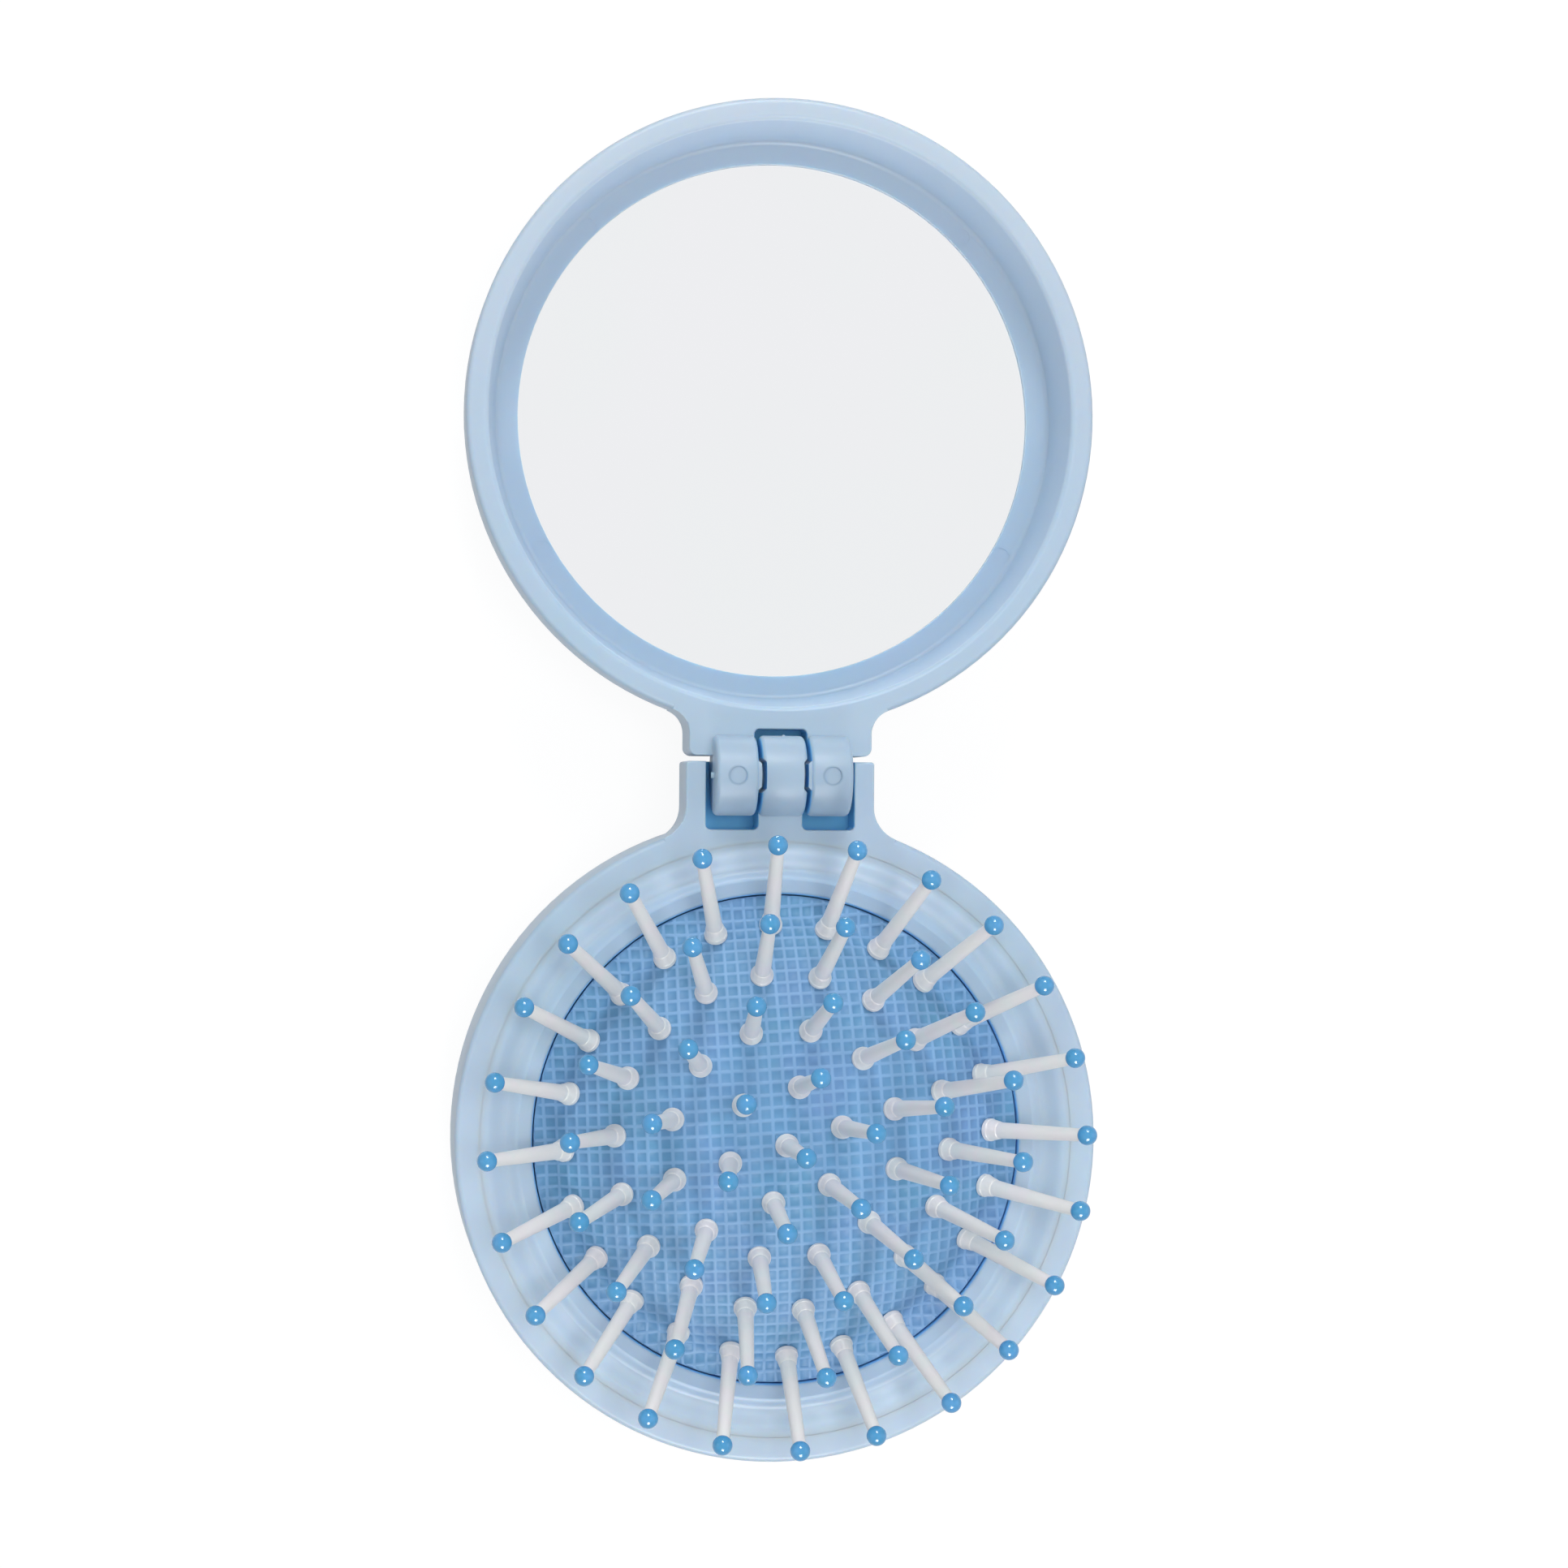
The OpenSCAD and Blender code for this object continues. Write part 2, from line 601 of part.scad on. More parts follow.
module lid_shell() color([0.70, 0.80, 0.89]) {
    difference() {
        union() {
            at_lid() translate([0, 0, lid_back_z]) round_box(lid_r, lid_depth, lid_round);
            mirror([0, 1, 0]) lug(lid_r, lid_lug_half_w, -lid_lug_edge, lid_fillet, lug_corner_r);
        }
        at_lid() lid_cavity();
        at_lid() for (turn = ejector_turns)
            rotate(turn) translate([pocket_r + ejector_r + mirror_gap, 0, flange_z - ejector_depth])
                cylinder(r = ejector_r, h = cut, $fn = small_fn);
        knuckle_slot(-outer_near, outer_near, slot_r + notch_tail, lid_lug_edge - cut);
    }
    for (side = [0, 1]) mirror([side, 0, 0]) outer_knuckle();
    translate([-outer_far - gate_l, 0, hinge_z + knuckle_r / 3]) rotate([0, 90, 0])
        cylinder(r = gate_r, h = gate_l + join, $fn = small_fn);
}

module mirror_glass() color([0.93, 0.94, 0.95]) {
    at_lid() translate([0, 0, mirror_z]) rotate_extrude()
        polygon([
            [0, 0], [mirror_r, 0], [mirror_r, mirror_t - mirror_bevel],
            [mirror_r - mirror_bevel, mirror_t], [0, mirror_t]
        ]);
}

module mirror_adhesive() color([0.9, 0.9, 0.88]) {
    at_lid() translate([0, 0, pocket_z]) cylinder(r = mirror_r - adhesive_margin, h = adhesive_t);
}

base_shell();
bezel_ring();
bristle_tray();
push_button();
cushion();
cushion_clamp_ring();
lid_shell();
mirror_glass();
mirror_adhesive();
for (ring = [0:rings], g = [1:group_count(ring)]) {
    bristles(ring, g);
    tips(ring, g);
}
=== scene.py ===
"""Finishes and soft parts of a folding hairbrush with mirror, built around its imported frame."""

import math

import bmesh
import bpy
import numpy as np
from mathutils import Matrix, Vector
from mathutils.geometry import delaunay_2d_cdt
from mathutils.kdtree import KDTree


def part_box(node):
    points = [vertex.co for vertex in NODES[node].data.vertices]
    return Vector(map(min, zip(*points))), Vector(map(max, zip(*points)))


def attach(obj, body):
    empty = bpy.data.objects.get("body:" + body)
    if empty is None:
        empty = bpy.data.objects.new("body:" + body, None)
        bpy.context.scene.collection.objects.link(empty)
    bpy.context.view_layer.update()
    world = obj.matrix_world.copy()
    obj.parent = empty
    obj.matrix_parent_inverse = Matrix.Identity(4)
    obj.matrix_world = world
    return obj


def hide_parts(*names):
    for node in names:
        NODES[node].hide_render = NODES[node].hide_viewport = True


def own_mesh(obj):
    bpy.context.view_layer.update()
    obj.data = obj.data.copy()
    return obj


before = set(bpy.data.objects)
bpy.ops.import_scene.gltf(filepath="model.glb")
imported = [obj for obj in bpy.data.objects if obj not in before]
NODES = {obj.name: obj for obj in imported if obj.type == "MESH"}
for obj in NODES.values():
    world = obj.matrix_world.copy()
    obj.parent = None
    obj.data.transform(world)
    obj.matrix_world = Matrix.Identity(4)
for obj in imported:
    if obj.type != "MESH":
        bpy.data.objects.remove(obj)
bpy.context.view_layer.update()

MM = 0.001

# ---- sizes of the frame that the soft parts follow ----

RIM_Z = 15 * MM
BORE_R = 31.2 * MM
CUSHION_T = 0.8 * MM
CUSHION_RISE = 10.1 * MM
DOME_R = 25.2 * MM
DOME_SHOULDER = 1.2 * MM
OUTER_RING_MARGIN = 2.9 * MM
PATTERN_TURN = math.radians(17.5)
RINGS = 4
STEM_HOLE_R = 0.85 * MM

SEAT_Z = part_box("cushion")[0].z
CLAMP_Z = SEAT_Z + CUSHION_T
FLANGE_R = (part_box("cushion")[1].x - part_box("cushion")[0].x) / 2
BASE_CENTRE = (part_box("push_button")[0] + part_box("push_button")[1]) / 2
LID_CENTRE = (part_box("mirror_glass")[0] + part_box("mirror_glass")[1]) / 2
BASE_R = (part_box("base_shell")[1].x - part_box("base_shell")[0].x) / 2
LID_R = (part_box("lid_shell")[1].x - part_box("lid_shell")[0].x) / 2
DOME_A = DOME_R + DOME_SHOULDER
DOME_C = CUSHION_RISE / (1 - math.sqrt(1 - (DOME_R / DOME_A) ** 2))
DOME_CENTRE_Z = CLAMP_Z + CUSHION_RISE - DOME_C
OUTER_RING_R = DOME_R - OUTER_RING_MARGIN
SKIRT_R = OUTER_RING_R + 0.9 * MM
MARGIN_R = DOME_R + 0.36 * MM
MARGIN_Z = RIM_Z - 1.1 * MM
MARGIN_ROUND = 0.2 * MM
MARGIN_ROLL = math.radians(80)

MIRROR_R = (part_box("mirror_glass")[1].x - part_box("mirror_glass")[0].x) / 2
MIRROR_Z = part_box("mirror_glass")[1].z
MIRROR_GAP = 0.1 * MM
LUG_SIDE_X = 9 * MM

# ---- places on the shells in millimetres, for their material ----

RIM = RIM_Z / MM
FAR_END_Y = 66.0
HINGE_END_Y = 16.0
SLOTS_HALF_X = 8.1
SLOTS_HALF_Y = 6.0
SLOT_FLOOR = 10.5
LUG_END_Y = 3.5
KNUCKLE_R = 4.2
MARK_X = 4.95
MARK_R = 0.95
OPENING_R = 25.7
HOLLOW_R = 28.0
BEZEL_R = BORE_R / MM
PAD_MIDDLE_Y = BASE_CENTRE.y / MM
PAD_REACH = 22.0
FLANGE_Z = 6.0
FLANGE_EDGE_R = 29.9
LID_BORE_R = 30.9

# ---- strength of the floor's own glow: as light on the object, and as the camera sees it ----

FLOOR_GLOW = 0.25
FLOOR_SEEN = 0.91

# ---- sizes of the rubber's square mesh ----

MESH_PITCH = 1.31 * MM
MESH_TURN = math.radians(3)
RIDGE_TOP = 0.11 * MM
RIDGE_FOOT = 0.24 * MM
RIDGE_H = 0.10 * MM
EDGE_RIDGE = 0.6


# ---- node building ----

class Nodes:
    """Adds nodes to one tree and links them by name."""

    def __init__(self, tree):
        self.tree = tree

    def add(self, kind, inputs=None, **settings):
        node = self.tree.nodes.new(kind)
        for key, value in settings.items():
            setattr(node, key, value)
        for key, value in (inputs or {}).items():
            self.put(node.inputs[key], value)
        return node

    def put(self, socket, value):
        if isinstance(value, bpy.types.NodeSocket):
            self.tree.links.new(value, socket)
        else:
            socket.default_value = value

    def math(self, operation, a, b=0.0):
        return self.add("ShaderNodeMath", {0: a, 1: b}, operation=operation).outputs[0]

    def times(self, first, *others):
        """The product of several values."""
        product = first
        for other in others:
            product = self.math("MULTIPLY", product, other)
        return product

    def size(self, value):
        """A value without its sign."""
        return self.math("ABSOLUTE", value)

    def part(self, vector):
        """The X, Y and Z of a vector."""
        return self.add("ShaderNodeSeparateXYZ", {"Vector": vector}).outputs

    def scaled(self, value, scale, start):
        """value times scale, counted from start."""
        return self.math("ADD", self.math("MULTIPLY", value, scale), start)

    def ramp(self, value, low, high, to_low=0.0, to_high=1.0):
        """Eases from to_low at low to to_high at high."""
        node = self.add(
            "ShaderNodeMapRange",
            {"Value": value, "From Min": low, "From Max": high, "To Min": to_low, "To Max": to_high},
            interpolation_type="SMOOTHSTEP",
        )
        return node.outputs[0]

    def mix(self, factor, a, b):
        """The colour a, or b where factor is 1. Sockets 6, 7 and 2 are the node's colour sockets."""
        return self.add("ShaderNodeMix", {0: factor, 6: a, 7: b}, data_type="RGBA").outputs[2]

    def millimetres(self):
        """Object coordinates in millimetres."""
        coordinates = self.add("ShaderNodeTexCoord").outputs["Object"]
        node = self.add("ShaderNodeVectorMath", {0: coordinates}, operation="SCALE")
        node.inputs["Scale"].default_value = 1 / MM
        return node.outputs[0]

    def length(self, vector):
        return self.add("ShaderNodeVectorMath", {0: vector}, operation="LENGTH").outputs["Value"]

    def reach(self, place, centre):
        """How far a place in millimetres lies from the upright axis through a centre."""
        off = self.add("ShaderNodeVectorMath", {0: place, 1: centre / MM}, operation="SUBTRACT").outputs[0]
        flat = self.add("ShaderNodeVectorMath", {0: off, 1: (1, 1, 0)}, operation="MULTIPLY").outputs[0]
        return self.length(flat)

    def noise(self, vector, scale, detail=2.0, roughness=0.5):
        node = self.add(
            "ShaderNodeTexNoise",
            {"Vector": vector, "Scale": scale, "Detail": detail, "Roughness": roughness},
        )
        return node.outputs["Fac"]

    def seen(self):
        """1 for what the camera sees, directly, in a gloss or through a clear piece, and 0 for the light."""
        path = self.add("ShaderNodeLightPath").outputs
        bounced = self.math("MAXIMUM", path["Is Glossy Ray"], path["Is Transmission Ray"])
        return self.math("MAXIMUM", path["Is Camera Ray"], bounced)


def make_group(name, inputs, outputs, build):
    """A shader node group with named sockets. build(nodes, values) returns what each output takes."""
    tree = bpy.data.node_groups.new(name, "ShaderNodeTree")
    for label, kind, default in inputs:
        socket = tree.interface.new_socket(label, in_out="INPUT", socket_type=kind)
        socket.default_value = default
    for label, kind in outputs:
        tree.interface.new_socket(label, in_out="OUTPUT", socket_type=kind)
    nodes = Nodes(tree)
    values = tree.nodes.new("NodeGroupInput").outputs
    results = build(nodes, values)
    end = tree.nodes.new("NodeGroupOutput")
    for label, value in results.items():
        nodes.put(end.inputs[label], value)
    return tree


FLOAT, COLOUR = "NodeSocketFloat", "NodeSocketColor"


def moulded_grain(nodes, values):
    """Fine grain of a moulded skin over a slow unevenness of the wall."""
    place = nodes.millimetres()
    fine = nodes.noise(place, values["Grain Scale"], 3.0, 0.6)
    slow = nodes.noise(place, values["Wave Scale"], 1.0)
    grain = nodes.math("MULTIPLY", fine, values["Grain Depth"])
    waves = nodes.math("MULTIPLY", slow, values["Wave Depth"])
    return {"Height": nodes.math("ADD", grain, waves)}


def tone_drift(nodes, values):
    """A base colour that drifts slowly between a cooler and a warmer tone."""
    low, high = 0.42, 0.68
    away = (37.0, 11.0, 5.0)
    place = nodes.millimetres()
    shifted = nodes.add("ShaderNodeVectorMath", {0: place, 1: away}, operation="ADD").outputs[0]
    cool = nodes.ramp(nodes.noise(place, values["Scale"]), low, high)
    warm = nodes.ramp(nodes.noise(shifted, values["Scale"]), low, high)
    tone = nodes.mix(nodes.math("MULTIPLY", cool, values["Amount"]), values["Colour"], values["Cool"])
    return {"Colour": nodes.mix(nodes.math("MULTIPLY", warm, values["Amount"]), tone, values["Warm"])}


def handling_marks(nodes, values):
    """Soft smudges and short fine scuffs that handling leaves."""
    place = nodes.millimetres()
    smudge = nodes.ramp(nodes.noise(place, 0.11, 3.0, 0.65), 0.52, 0.75)
    along, thin = (0.3, 0.2, 0.7), (0.35, 4.0, 1.0)
    stretched = nodes.add("ShaderNodeMapping", {"Vector": place, "Rotation": along, "Scale": thin})
    scuff = nodes.ramp(nodes.noise(stretched.outputs[0], 0.9, 4.0, 0.7), 0.66, 0.74)
    patch = nodes.ramp(nodes.noise(place, 0.21, 1.0), 0.5, 0.62)
    return {"Smudge": smudge, "Scuff": nodes.math("MULTIPLY", scuff, patch)}


def dust_specks(nodes, values):
    """Small specks, far apart, each with its own size."""
    cells = nodes.add(
        "ShaderNodeTexVoronoi", {"Vector": nodes.millimetres(), "Scale": values["Scale"], "Randomness": 1.0}
    )
    pick = nodes.add("ShaderNodeSeparateColor", {"Color": cells.outputs["Color"]})
    chosen = nodes.math("GREATER_THAN", pick.outputs[0], values["Rarity"])
    size = nodes.math("MULTIPLY", pick.outputs[1], values["Size"])
    near = nodes.math("LESS_THAN", cells.outputs["Distance"], size)
    return {"Mask": nodes.math("MULTIPLY", chosen, near)}


def make_groups():
    grain = make_group(
        "moulded_grain",
        [("Grain Scale", FLOAT, 6.0), ("Grain Depth", FLOAT, 1.0),
         ("Wave Scale", FLOAT, 0.1), ("Wave Depth", FLOAT, 1.0)],
        [("Height", FLOAT)],
        moulded_grain,
    )
    drift = make_group(
        "tone_drift",
        [("Colour", COLOUR, (1, 1, 1, 1)), ("Cool", COLOUR, (1, 1, 1, 1)), ("Warm", COLOUR, (1, 1, 1, 1)),
         ("Amount", FLOAT, 0.5), ("Scale", FLOAT, 0.1)],
        [("Colour", COLOUR)],
        tone_drift,
    )
    marks = make_group("handling_marks", [], [("Smudge", FLOAT), ("Scuff", FLOAT)], handling_marks)
    specks = make_group(
        "dust_specks",
        [("Scale", FLOAT, 0.4), ("Rarity", FLOAT, 0.9), ("Size", FLOAT, 0.1)],
        [("Mask", FLOAT)],
        dust_specks,
    )
    return {"grain": grain, "drift": drift, "marks": marks, "specks": specks}


GROUPS = make_groups()


def srgb(red, green, blue):
    """A display colour from 0 to 255 as the linear colour that a shader takes."""
    def linear(level):
        share = level / 255
        return share / 12.92 if share <= 0.04045 else ((share + 0.055) / 1.055) ** 2.4
    return (linear(red), linear(green), linear(blue), 1.0)


class Finish:
    """A material with one Principled shader, and helpers that place the shared groups."""

    def __init__(self, name, **sockets):
        self.material = bpy.data.materials.new(name)
        self.material.use_nodes = True
        tree = self.material.node_tree
        self.nodes = Nodes(tree)
        self.shader = tree.nodes["Principled BSDF"]
        self.set(**sockets)

    def set(self, **sockets):
        for key, value in sockets.items():
            self.nodes.put(self.shader.inputs[key.replace("_", " ").title().replace("Ior", "IOR")], value)

    def group(self, kind, inputs=None):
        node = self.nodes.tree.nodes.new("ShaderNodeGroup")
        node.node_tree = GROUPS[kind]
        for key, value in (inputs or {}).items():
            self.nodes.put(node.inputs[key], value)
        return node.outputs

    def put(self, socket, value):
        self.nodes.put(self.shader.inputs[socket], value)

    def tone(self, colour, cool, warm, amount, scale):
        """A colour that drifts to a cooler and a warmer one."""
        inputs = {"Colour": colour, "Cool": cool, "Warm": warm, "Amount": amount, "Scale": scale}
        return self.group("drift", inputs)["Colour"]

    def skin(self, grain, waves, distance):
        """Fine grain over slow waves, each as its scale and depth. distance is the height of a depth of 1."""
        inputs = {"Grain Scale": grain[0], "Grain Depth": grain[1]}
        inputs |= {"Wave Scale": waves[0], "Wave Depth": waves[1]}
        height = self.group("grain", inputs)["Height"]
        bump = self.nodes.add("ShaderNodeBump", {"Height": height, "Distance": distance, "Strength": 1.0})
        self.put("Normal", bump.outputs["Normal"])


# ---- finishes ----

def moulded_plastic(name, colour, cool, warm, roughness, grain):
    """Satin moulded plastic: drifting pastel tone, fine grain, smudges, scuffs and a few specks."""
    finish = Finish(name)
    nodes = finish.nodes
    tone = finish.tone(colour, cool, warm, amount=0.35, scale=0.07)
    marks = finish.group("marks")
    specks = finish.group("specks", {"Scale": 0.25, "Rarity": 0.955, "Size": 0.07})
    worn = nodes.mix(nodes.math("MULTIPLY", marks["Scuff"], 0.12), tone, srgb(226, 233, 240))
    speckled = nodes.mix(nodes.math("MULTIPLY", specks["Mask"], 0.45), worn, srgb(104, 104, 112))
    finish.put("Base Color", speckled)
    rough = nodes.scaled(marks["Smudge"], 0.07, roughness)
    finish.put("Roughness", nodes.math("ADD", rough, nodes.math("MULTIPLY", marks["Scuff"], 0.15)))
    finish.skin(grain=(5.0, grain), waves=(0.12, 6.0), distance=0.004 * MM)
    return finish


def ejector_rings(nodes, place):
    """Where the ejector pins' outlines lie on top of the outer knuckles."""
    off_x = nodes.math("SUBTRACT", nodes.size(place["X"]), MARK_X)
    off = nodes.add("ShaderNodeCombineXYZ", {"X": off_x, "Y": place["Y"]})
    from_outline = nodes.size(nodes.math("SUBTRACT", nodes.length(off.outputs[0]), MARK_R))
    on_top = nodes.math("GREATER_THAN", place["Z"], RIM + 3.0)
    return nodes.times(nodes.ramp(from_outline, 0.04, 0.2, 0.34, 0.0), on_top)


def hinge_area(nodes, place):
    """Where the slots and the knuckles lie."""
    across = nodes.ramp(nodes.size(place["X"]), SLOTS_HALF_X - 0.2, SLOTS_HALF_X + 0.3, 1.0, 0.0)
    along = nodes.ramp(nodes.size(place["Y"]), SLOTS_HALF_Y, SLOTS_HALF_Y + 0.5, 1.0, 0.0)
    return nodes.times(across, along)


def slot_painted_light(nodes, place, facing):
    """Where painted light lies on the slots' walls and floors, without the knuckles' backs and the lugs'
    ends.
    """
    off_z = nodes.math("SUBTRACT", place["Z"], RIM)
    from_axis = nodes.add("ShaderNodeCombineXYZ", {"X": place["Y"], "Y": off_z})
    past_knuckles = nodes.ramp(nodes.length(from_axis.outputs[0]), KNUCKLE_R + 0.15, KNUCKLE_R + 0.35)
    below_rim = nodes.ramp(place["Z"], RIM - 1.6, RIM - 0.1, 1.0, 0.0)
    above_floor = nodes.ramp(place["Z"], SLOT_FLOOR - 0.5, SLOT_FLOOR - 0.2)
    at_lug_end = nodes.math("LESS_THAN", nodes.size(place["Y"]), LUG_END_Y)
    lug_end = nodes.times(at_lug_end, nodes.ramp(nodes.size(facing["Y"]), 0.5, 0.8))
    return nodes.times(below_rim, above_floor, past_knuckles, nodes.math("SUBTRACT", 1.0, lug_end))


def knuckle_gap_painted_light(nodes, place, facing):
    """Where painted light lies on faces that look sideways, between the knuckles and at the slots' side
    walls.
    """
    off_x = nodes.size(place["X"])
    between = nodes.math("LESS_THAN", off_x, MARK_X)
    at_slot_wall = nodes.math("GREATER_THAN", off_x, SLOTS_HALF_X - 0.5)
    sideways = nodes.ramp(nodes.size(facing["X"]), 0.75, 0.95)
    return nodes.times(sideways, nodes.math("MAXIMUM", between, at_slot_wall))


def lid_painted_shade(nodes, spot, place):
    """Where painted shade lies on the lid's inner wall and, more lightly, on its flange."""
    reach = nodes.reach(spot, LID_CENTRE)
    inside = nodes.ramp(reach, LID_BORE_R, LID_BORE_R + 0.15, 1.0, 0.0)
    above_flange = nodes.ramp(place["Z"], FLANGE_Z - 0.5, FLANGE_Z + 0.5)
    below_rim = nodes.ramp(place["Z"], RIM - 1.0, RIM - 0.3, 1.0, 0.0)
    depth = nodes.ramp(reach, FLANGE_EDGE_R - 0.2, FLANGE_EDGE_R + 0.2, 0.28, 0.5)
    return nodes.times(above_flange, below_rim, depth, inside)


def shell_plastic():
    """The pastel plastic of both halves.

    Painted light makes them a little paler towards their far ends, and painted shade deepens the tone on the
    knuckles and inside the lid. Towards both ends the bezel's lip has painted shade and its hollow painted
    light.
    Painted light in a deep blue lies down in the hinge's slots and between the knuckles, standing in for
    light that comes through the walls, and on the wall of the bezel's opening. Ejector pins left a ring on
    each outer knuckle.
    """
    finish = moulded_plastic(
        "shell_plastic", srgb(178, 199, 217), srgb(171, 198, 217), srgb(184, 198, 220),
        roughness=0.42, grain=0.6,
    )
    nodes = finish.nodes
    spot = nodes.millimetres()
    place = nodes.part(spot)
    facing = nodes.part(nodes.add("ShaderNodeTexCoord").outputs["Normal"])
    within = hinge_area(nodes, place)
    base_reach = nodes.reach(spot, BASE_CENTRE)
    to_ends = nodes.size(nodes.math("SUBTRACT", place["Y"], PAD_MIDDLE_Y))
    # Towards both ends: painted shade on the bezel's lip and painted light in its hollow.
    at_ends = nodes.times(nodes.ramp(to_ends, 10.0, 27.0), nodes.ramp(place["Z"], RIM - 3.5, RIM - 3.0))
    lip = nodes.times(at_ends, nodes.ramp(base_reach, HOLLOW_R - 0.2, HOLLOW_R + 0.6, 0.6, 0.0))
    hollow = nodes.times(
        at_ends,
        nodes.ramp(base_reach, HOLLOW_R, HOLLOW_R + 1.2),
        nodes.ramp(base_reach, BEZEL_R - 1.4, BEZEL_R - 0.2, 0.75, 0.0),
    )
    # Painted light on the wall of the bezel's opening, where the gap to the pad lies in shade.
    opening = nodes.times(
        nodes.ramp(base_reach, OPENING_R + 0.05, OPENING_R + 0.2, 1.0, 0.0),
        nodes.ramp(place["Z"], RIM - 4.5, RIM - 4.0),
    )
    skin = finish.shader.inputs["Base Color"].links[0].from_socket
    for share, tone in (
        # Painted light: paler towards the base's far end and the lid's far end.
        (nodes.ramp(place["Y"], -FAR_END_Y, -HINGE_END_Y, 0.6, 0.0), srgb(204, 222, 240)),
        (nodes.ramp(place["Y"], HINGE_END_Y, FAR_END_Y, 0.0, 0.6), srgb(196, 207, 218)),
        # Painted shade on the knuckles above the rim.
        (nodes.ramp(place["Z"], RIM + 0.3, RIM + 1.5, 0.0, 0.7), srgb(162, 184, 204)),
        (ejector_rings(nodes, place), srgb(112, 140, 168)),
        # Painted light down in the slots and between the knuckles, for light that comes through the walls.
        (nodes.times(within, slot_painted_light(nodes, place, facing)), srgb(134, 210, 254)),
        (nodes.times(within, knuckle_gap_painted_light(nodes, place, facing)), srgb(122, 194, 238)),
        # Painted shade on the lip, then painted light in the hollow.
        (lip, srgb(166, 192, 218)),
        (hollow, srgb(216, 234, 252)),
        # Painted light on the wall of the bezel's opening.
        (opening, srgb(126, 190, 246)),
        # Painted shade on the lid's inner wall and flange.
        (lid_painted_shade(nodes, spot, place), srgb(142, 170, 200)),
    ):
        skin = nodes.mix(share, skin, tone)
    finish.put("Base Color", skin)
    finish.set(
        specular_ior_level=0.3, subsurface_weight=0.5, subsurface_radius=(0.5, 0.95, 1.5),
        subsurface_scale=0.9 * MM,
    )
    return finish.material


def inner_plastic():
    finish = moulded_plastic(
        "inner_plastic", srgb(170, 195, 218), srgb(164, 196, 220), srgb(174, 192, 220),
        roughness=0.45, grain=1.0,
    )
    return finish.material


def cushion_rubber():
    """Matt rubber, lighter on the ridges of its mesh than in its cells.

    The cells differ a little from each other. Painted shade makes the tone deeper to the left and towards the
    hinge, and painted light makes it paler at the far end.
    """
    finish = Finish("cushion_rubber", roughness=0.55, specular_ior_level=0.35)
    nodes = finish.nodes
    ridge = nodes.add("ShaderNodeAttribute", attribute_name="ridge").outputs["Fac"]
    cell = nodes.add("ShaderNodeAttribute", attribute_name="cell_tone").outputs["Fac"]
    skin = finish.tone(srgb(106, 158, 202), srgb(98, 160, 197), srgb(113, 151, 203), amount=0.8, scale=0.13)
    place = nodes.part(nodes.millimetres())
    # Painted shade to the left and towards the hinge, painted light at the far end.
    for share, tone in (
        (nodes.ramp(place["X"], -PAD_REACH, -4.0, 0.4, 0.0), srgb(84, 136, 174)),
        (nodes.ramp(place["Y"], PAD_MIDDLE_Y, PAD_MIDDLE_Y + PAD_REACH, 0.0, 0.35), srgb(96, 142, 178)),
        (nodes.ramp(place["Y"], PAD_MIDDLE_Y - PAD_REACH, PAD_MIDDLE_Y, 0.25, 0.0), srgb(128, 174, 220)),
    ):
        skin = nodes.mix(share, skin, tone)
    cells = nodes.mix(nodes.math("MULTIPLY", cell, 0.45), skin, srgb(90, 144, 188))
    lines = nodes.mix(0.62, skin, srgb(140, 182, 224))
    specks = finish.group("specks", {"Scale": 0.4, "Rarity": 0.97, "Size": 0.08})
    meshed = nodes.mix(ridge, cells, lines)
    finish.put("Base Color", nodes.mix(nodes.math("MULTIPLY", specks["Mask"], 0.5), meshed, srgb(60, 70, 92)))
    finish.skin(grain=(7.0, 1.5), waves=(0.8, 2.0), distance=0.006 * MM)
    return finish.material


def bristle_nylon():
    finish = Finish("bristle_nylon", roughness=0.36)
    tone = finish.tone(srgb(236, 234, 231), srgb(231, 235, 232), srgb(238, 231, 232), amount=0.8, scale=0.35)
    finish.put("Base Color", tone)
    finish.skin(grain=(6.0, 0.8), waves=(0.7, 2.0), distance=0.005 * MM)
    return finish.material


def tip_resin():
    finish = Finish("tip_resin", roughness=0.16, transmission_weight=0.25)
    tone = finish.tone(srgb(84, 172, 226), srgb(74, 168, 218), srgb(96, 176, 234), amount=0.8, scale=0.5)
    finish.put("Base Color", tone)
    finish.skin(grain=(1.4, 2.0), waves=(0.5, 2.0), distance=0.004 * MM)
    return finish.material


def mirror_silver():
    finish = Finish("mirror_silver", metallic=1.0)
    tone = finish.tone(srgb(237, 238, 240), srgb(236, 239, 240), srgb(238, 238, 241), amount=0.5, scale=0.05)
    finish.put("Base Color", tone)
    finish.put("Roughness", finish.nodes.scaled(finish.group("marks")["Smudge"], 0.02, 0.02))
    return finish.material


def foam_tape():
    finish = Finish("foam_tape", roughness=0.85)
    tone = finish.tone(srgb(230, 229, 224), srgb(224, 228, 226), srgb(234, 228, 218), amount=0.7, scale=0.3)
    finish.put("Base Color", tone)
    finish.skin(grain=(3.0, 4.0), waves=(0.3, 4.0), distance=0.02 * MM)
    return finish.material


# ---- the rubber cushion ----

